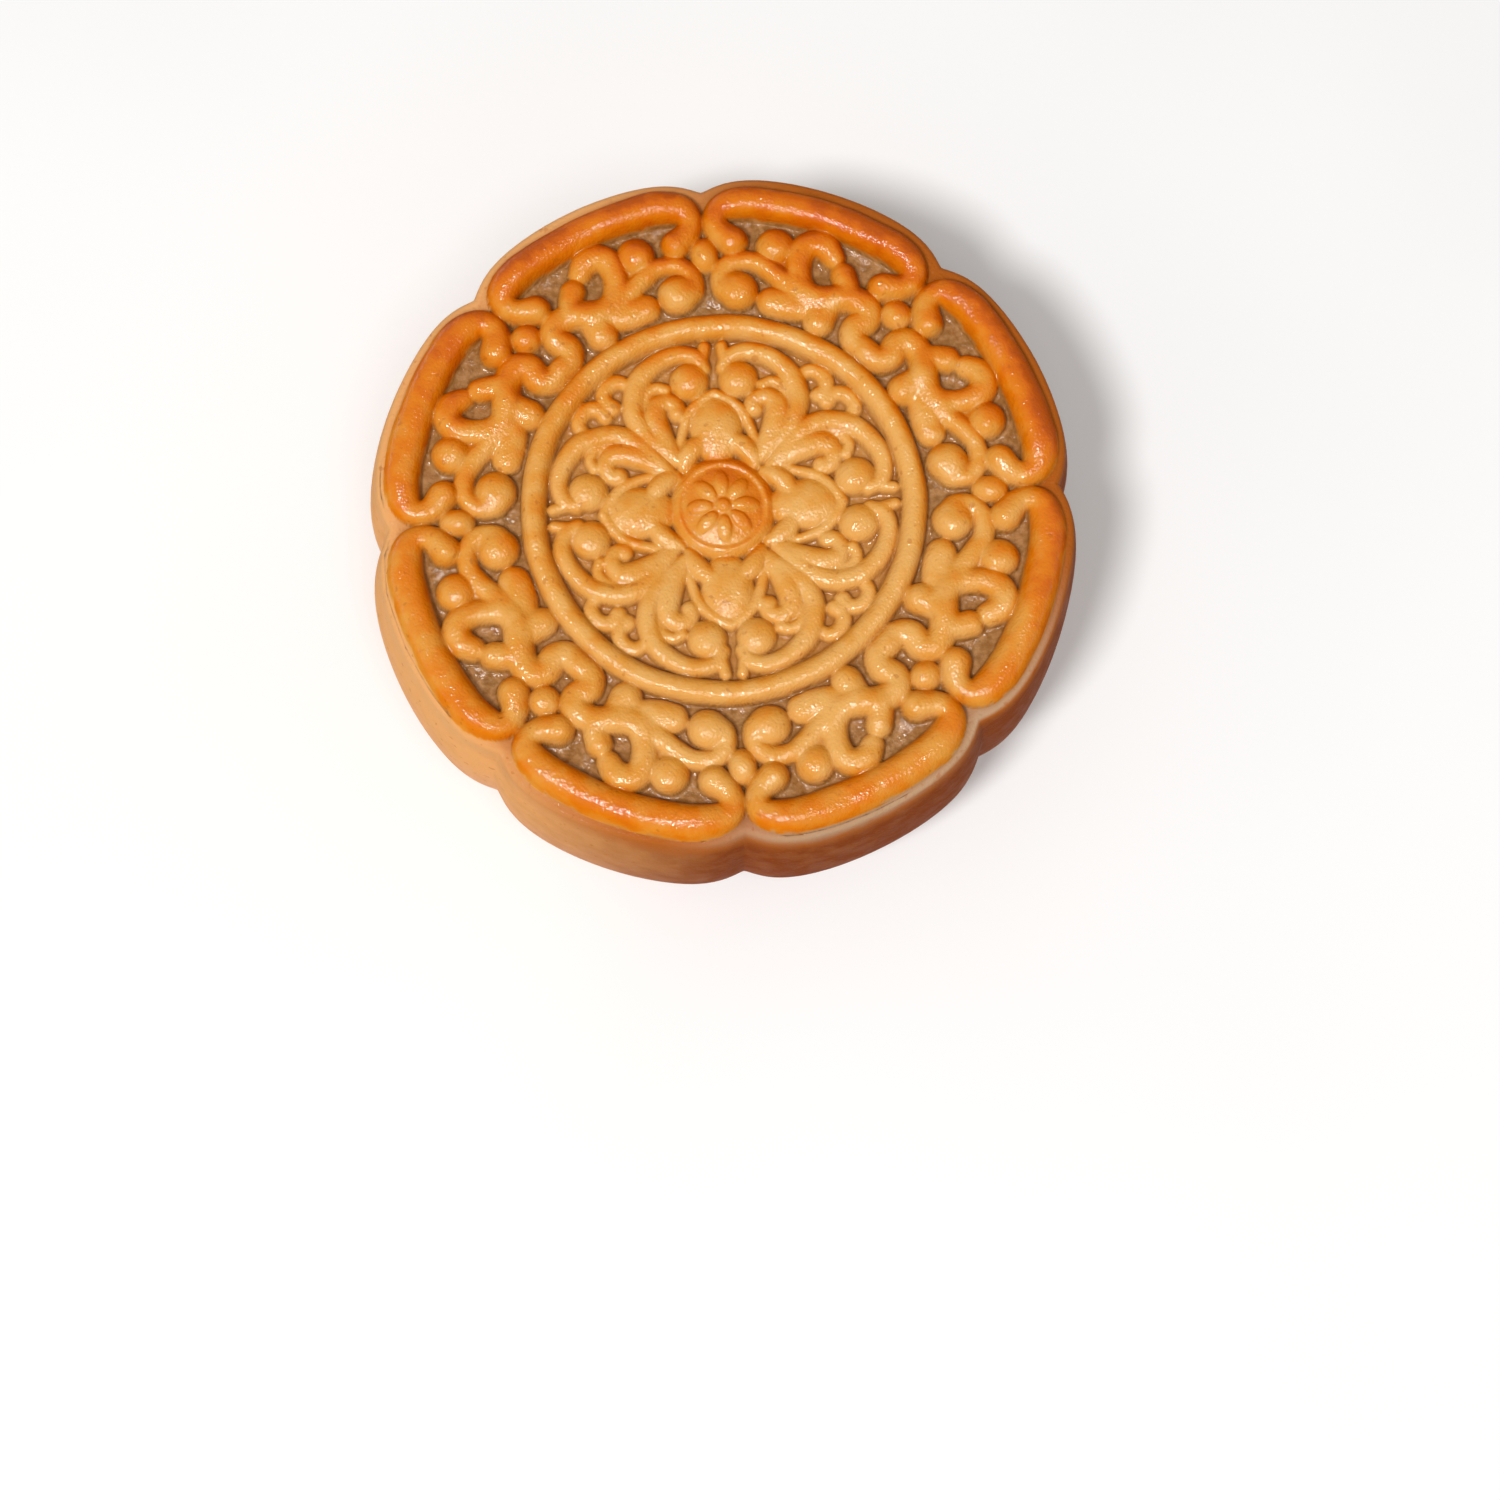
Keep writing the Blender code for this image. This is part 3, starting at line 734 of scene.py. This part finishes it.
class Nodes:
    """Short calls for building a material's nodes."""

    def __init__(self, name):
        self.material = bpy.data.materials.new(name)
        self.material.use_nodes = True
        self.tree = self.material.node_tree
        self.shader = self.tree.nodes["Principled BSDF"]

    def link(self, value, socket):
        if isinstance(value, bpy.types.NodeSocket):
            self.tree.links.new(value, socket)
        else:
            socket.default_value = value

    def add(self, kind, settings=None, **inputs):
        node = self.tree.nodes.new(kind)
        for name, value in (settings or {}).items():
            setattr(node, name, value)
        for name, value in inputs.items():
            self.link(value, node.inputs[name.replace("_", " ").title()])
        return node

    def place(self):
        return self.add("ShaderNodeTexCoord").outputs["Object"]

    def read(self, name):
        return self.add("ShaderNodeAttribute", {"attribute_name": name}).outputs["Fac"]

    def noise(self, size, detail=2.0):
        """Noise between 0 and 1 whose hills are about the size across, in millimetres."""
        scale = 1 / (size * MM)
        node = self.add("ShaderNodeTexNoise", vector=self.place(), scale=scale, detail=detail)
        return node.outputs["Fac"]

    def ramp(self, value, low, high, to_low=0.0, to_high=1.0):
        """The value brought from between low and high to between the other two."""
        node = self.add("ShaderNodeMapRange", {"interpolation_type": "SMOOTHSTEP"})
        for index, number in enumerate((value, low, high, to_low, to_high)):
            self.link(number, node.inputs[index])
        return node.outputs["Result"]

    def math(self, operation, first, second):
        node = self.add("ShaderNodeMath", {"operation": operation})
        self.link(first, node.inputs[0])
        self.link(second, node.inputs[1])
        return node.outputs[0]

    def mix(self, share, first, second):
        """The first colour at share 0, and the second at share 1."""
        node = self.add("ShaderNodeMix", {"data_type": "RGBA"})
        self.link(share, node.inputs["Factor"])
        self.link(first, node.inputs["A"])
        self.link(second, node.inputs["B"])
        return node.outputs["Result"]

    def colours(self, share, stops):
        """A colour that runs through the stops as the share goes from 0 to 1."""
        node = self.add("ShaderNodeValToRGB")
        self.link(share, node.inputs["Fac"])
        elements = node.color_ramp.elements
        while len(elements) < len(stops):
            elements.new(1.0)
        for element, (place, colour) in zip(elements, stops):
            element.position = place
            element.color = (*colour, 1)
        return node.outputs["Color"]

    def bump(self, height, distance, **under):
        """Bumps up to the distance high, in millimetres, on those that lie under them."""
        node = self.add("ShaderNodeBump", height=height, distance=distance * MM, strength=1.0, **under)
        return node.outputs["Normal"]


# Colours of the crust, linear. The first ones go from pale dough to well baked, and their darker end
# also colours the painted shade on slopes.
BAKE_AND_SHADE_COLOURS = [
    (0.0, (0.72, 0.37, 0.095)),
    (0.3, (0.68, 0.28, 0.035)),
    (0.6, (0.67, 0.18, 0.003)),
    (0.85, (0.60, 0.12, 0.001)),
    (1.0, (0.46, 0.08, 0.001)),
]
POCKET = (0.25, 0.12, 0.03, 1)
POCKET_LIGHT = (0.46, 0.25, 0.10, 1)
LEDGE = (0.70, 0.35, 0.13, 1)
LEDGE_BROWN = (0.38, 0.10, 0.012, 1)
LEDGE_TAN = (0.46, 0.29, 0.17, 1)
WALL_PALE = (0.76, 0.36, 0.12, 1)
WALL_PINK = (0.74, 0.36, 0.19, 1)
WALL_BROWN = (0.22, 0.042, 0.002, 1)
# Painted shade in creases and hollows.
CREASE_SHADE = (0.28, 0.08, 0.005, 1)
SPECK = (0.36, 0.085, 0.005, 1)
FLOOR_TONES = ((0.86, 0.86, 0.86, 1), (0.88, 0.88, 0.88, 1))

# Patches of colour: the size across in millimetres, the noise's detail, and how strong they are.
MIDDLE_OF_NOISE = (0.3, 0.7)
PATCHES = (2.4, 3.0, 0.14)
BROAD_PATCHES = (9.0, 2.0, 0.1)
PATCHES_ON_WALL = 0.4
POCKET_PATCHES = (0.7, 3.0)
POCKET_MIDDLE = (0.3, 0.75)
SPECKS = (0.8, 1.0)
SPECK_PEAKS = (0.68, 0.76)
SPECK_STRENGTH = 0.35
# How strongly the painted crease shade is mixed in, before and after the pockets and the ledge.
CREASE_SHADE_STRENGTH = 0.7
CREASE_SHADE_STRENGTH_BELOW = 0.4
PINK_WALL_HEIGHTS = (8.0, 22.0)

# The surface. Each kind of bump has its size across and its height, in millimetres.
DIMPLES = (1.2, 0.1)
GRAIN = (0.3, 0.06)
GLAZE_GRAIN = (0.3, 0.095)
ROUGH_PATCHES = (1.6, 3.0)
ROUGHNESS = (0.45, 0.6)
COAT_ROUGHNESS = 0.08
SPECULAR = 0.01
SUBSURFACE = 0.1
SUBSURFACE_RADIUS = (1.0, 0.45, 0.15)
FLOOR_CLOUDS = (60.0, 1.0)
FLOOR_ROUGHNESS = 0.6


def patches(n, size, detail, strength):
    """Noise that raises and lowers a share by up to the strength."""
    return n.ramp(n.noise(size, detail), *MIDDLE_OF_NOISE, -strength, strength)


def crease_shaded(n, colour, strength):
    """The colour with painted shade: darker where the surface lies lower than what is round it."""
    return n.mix(n.math("MULTIPLY", n.read("crease_shade"), strength), colour, CREASE_SHADE)


def top_colour(n, uneven):
    """The baked relief, with the pockets and the ledge beside it, painted shade in its creases and on
    slopes that face away from the key light.
    """
    crust_and_shade = n.colours(n.math("ADD", n.read("bake_and_shade"), uneven), BAKE_AND_SHADE_COLOURS)
    crust_and_shade = crease_shaded(n, crust_and_shade, CREASE_SHADE_STRENGTH)
    pocket = n.mix(n.ramp(n.noise(*POCKET_PATCHES), *POCKET_MIDDLE), POCKET, POCKET_LIGHT)
    crust_and_shade = n.mix(n.read("pocket"), crust_and_shade, pocket)
    ledge = n.mix(n.read("brown_ledge"), LEDGE, LEDGE_BROWN)
    ledge = n.mix(n.read("tan_ledge"), ledge, LEDGE_TAN)
    crust_and_shade = n.mix(n.read("ledge"), crust_and_shade, ledge)
    return crease_shaded(n, crust_and_shade, CREASE_SHADE_STRENGTH_BELOW)


def wall_colour(n, uneven):
    """The wall, pinker near its foot and brown on one side."""
    wall = n.mix(n.ramp(n.read("level"), *PINK_WALL_HEIGHTS), WALL_PINK, WALL_PALE)
    mottled = n.math("MULTIPLY", uneven, PATCHES_ON_WALL)
    return n.mix(n.math("ADD", n.read("brown_side"), mottled), wall, WALL_BROWN)


def crust_material():
    n = Nodes("crust")
    inputs = n.shader.inputs
    uneven = n.math("ADD", patches(n, *PATCHES), patches(n, *BROAD_PATCHES))
    colour = n.mix(n.read("top"), wall_colour(n, uneven), top_colour(n, uneven))
    specks = n.ramp(n.noise(*SPECKS), *SPECK_PEAKS)
    colour = n.mix(n.math("MULTIPLY", specks, SPECK_STRENGTH), colour, SPECK)
    n.link(colour, inputs["Base Color"])
    n.link(n.ramp(n.noise(*ROUGH_PATCHES), *MIDDLE_OF_NOISE, *ROUGHNESS), inputs["Roughness"])
    n.link(n.ramp(n.read("gloss"), 0.0, 1.0), inputs["Coat Weight"])
    inputs["Coat Roughness"].default_value = COAT_ROUGHNESS
    inputs["Specular IOR Level"].default_value = SPECULAR
    inputs["Subsurface Weight"].default_value = SUBSURFACE
    inputs["Subsurface Radius"].default_value = SUBSURFACE_RADIUS
    inputs["Subsurface Scale"].default_value = MM
    (dimple_size, dimple_height), (grain_size, grain_height) = DIMPLES, GRAIN
    glaze_size, glaze_height = GLAZE_GRAIN
    dimples = n.bump(n.noise(dimple_size), dimple_height)
    n.link(n.bump(n.noise(grain_size), grain_height, normal=dimples), inputs["Normal"])
    n.link(n.bump(n.noise(glaze_size), glaze_height, normal=dimples), inputs["Coat Normal"])
    return n.material


def floor_material():
    n = Nodes("floor")
    clouds = n.ramp(n.noise(*FLOOR_CLOUDS), *MIDDLE_OF_NOISE)
    n.link(n.mix(clouds, *FLOOR_TONES), n.shader.inputs["Base Color"])
    n.shader.inputs["Roughness"].default_value = FLOOR_ROUGHNESS
    return n.material


def make_cake():
    heights = make_height_map()
    mesh = make_mesh(make_points(heights))
    cake = bpy.data.objects.new("mooncake_crust", mesh)
    bpy.context.scene.collection.objects.link(cake)
    lightened(cake)
    add_looks(cake.data, heights)
    cake.data.shade_smooth()
    cake.data.materials.clear()
    cake.data.materials.append(crust_material())
    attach(cake, "root")
    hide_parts("mooncake")


def make_floor():
    mesh = bpy.data.meshes.new("studio_floor")
    low, high = -FLOOR_REACH, FLOOR_REACH
    corners = [(low, low, 0), (high, low, 0), (high, high, 0), (low, high, 0)]
    mesh.from_pydata(corners, [], [(0, 1, 2, 3)])
    floor = bpy.data.objects.new("studio_floor", mesh)
    floor.location.z = -FLOOR_GAP
    bpy.context.scene.collection.objects.link(floor)
    mesh.materials.append(floor_material())


def add_light(name, place, size, power):
    light = bpy.data.lights.new(name, "AREA")
    light.shape = "DISK"
    light.size = size
    light.energy = power
    lamp = bpy.data.objects.new(name, light)
    lamp.location = place
    lamp.rotation_euler = (Vector(LIGHT_AIM) - Vector(place)).to_track_quat("-Z", "Y").to_euler()
    bpy.context.scene.collection.objects.link(lamp)


def light_scene():
    add_light("key", **KEY_LIGHT)
    add_light("front", **FRONT_LIGHT)
    world = bpy.data.worlds.new("studio")
    world.use_nodes = True
    background = world.node_tree.nodes["Background"]
    background.inputs["Color"].default_value = WORLD_COLOUR
    background.inputs["Strength"].default_value = WORLD_STRENGTH
    bpy.context.scene.world = world
    bpy.context.scene.view_settings.view_transform = "Standard"


def make_camera():
    camera = bpy.data.objects.new("camera", bpy.data.cameras.new("camera"))
    camera.data.sensor_width = CAMERA_SENSOR
    camera.data.lens = CAMERA_LENS
    camera.data.clip_start = CAMERA_CLIP_START
    camera.location = Vector(CAMERA_PLACE) * MM
    camera.rotation_euler = Euler([math.radians(turn) for turn in CAMERA_TURN])
    bpy.context.scene.collection.objects.link(camera)
    bpy.context.scene.camera = camera


make_cake()
make_floor()
light_scene()
make_camera()
